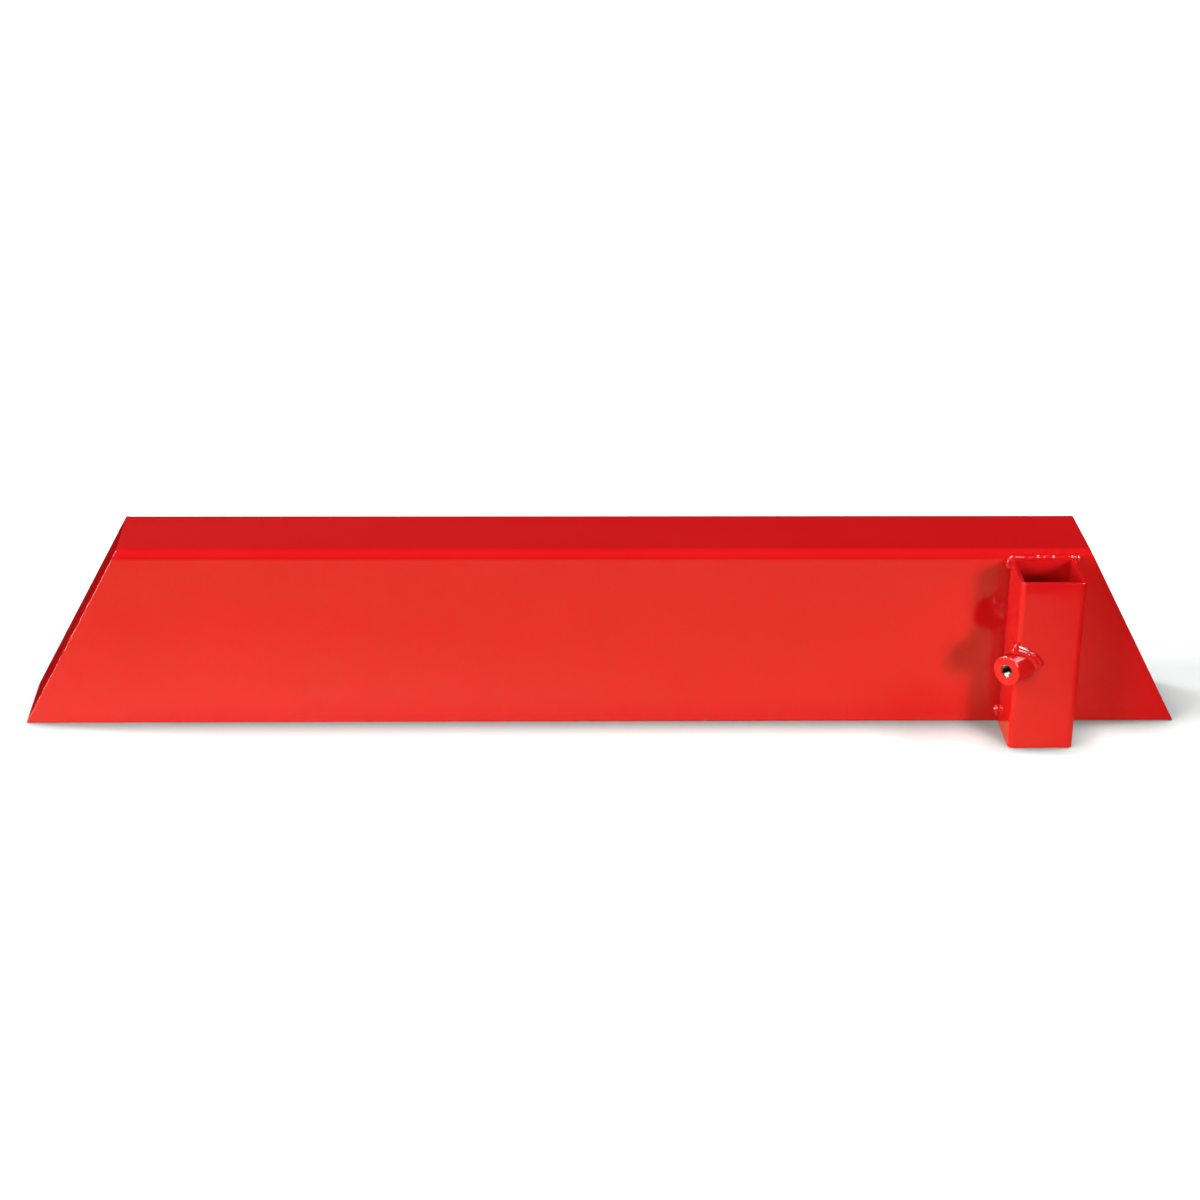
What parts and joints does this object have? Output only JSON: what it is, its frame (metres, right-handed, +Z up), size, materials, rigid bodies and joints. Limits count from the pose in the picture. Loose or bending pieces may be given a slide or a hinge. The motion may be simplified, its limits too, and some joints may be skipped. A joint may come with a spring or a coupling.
{
  "type": "steel float blade with handle socket",
  "caption": "Long red steel float blade with closed bevelled ends, a backward top flange and an upright square handle socket clamped by a corner screw.",
  "frame": {"origin": "bottom centre of the bounding box: middle of the blade, on the plane of the cutting edge", "axes": "+X along the blade towards the socket end, +Y from the working face to the open back, +Z up from the cutting edge"},
  "size_m": [0.9138, 0.143, 0.1461],
  "materials": {
    "red_powder_coat": "gloss powder coat with slight orange peel",
    "bare_steel": "bright machined screw thread, free of paint",
    "black_oxide_steel": "black oxide, lightly oiled"
  },
  "bodies": {
    "blade": {"blade_plate": "red_powder_coat", "end_plate_left": "red_powder_coat", "end_plate_right": "red_powder_coat", "socket_tube": "red_powder_coat", "clamp_boss": "red_powder_coat", "boss_weld": "red_powder_coat", "socket_weld_top": "red_powder_coat", "socket_weld_left": "red_powder_coat", "socket_weld_right": "red_powder_coat", "end_weld_left": "red_powder_coat", "end_weld_right": "red_powder_coat"},
    "screw": {"clamp_screw": "black_oxide_steel"}
  },
  "joints": [
    {"name": "clamp_screw_travel", "type": "slide", "parent": "blade", "child": "screw", "axis": [0.7071, 0.7071, 0], "range_m": [0, 0.00635]}
  ]
}
